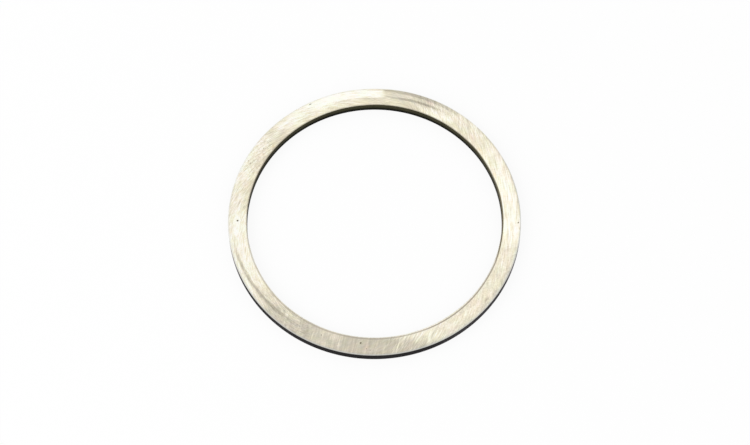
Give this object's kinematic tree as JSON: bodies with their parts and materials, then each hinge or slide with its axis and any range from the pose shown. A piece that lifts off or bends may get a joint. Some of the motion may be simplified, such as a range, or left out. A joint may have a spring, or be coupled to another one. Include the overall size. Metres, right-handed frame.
{
  "type": "shim ring",
  "caption": "Thin flat steel shim ring with ground faces and a wide plain bore, used to take up an axial gap beside a bearing.",
  "frame": {"origin": "centre of the bore in the plane of the lower face", "axes": "+Z along the bore's axis, from the lower face to the upper face; X and Y lie in the lower face, and the ring is alike all round"},
  "size_m": [0.062, 0.062, 0.0025],
  "materials": {
    "ground_steel": "surface-ground flat faces with fine scratches; dark oxidised rim and bore walls"
  },
  "bodies": {
    "root": {"shim_ring": "ground_steel"}
  },
  "joints": []
}
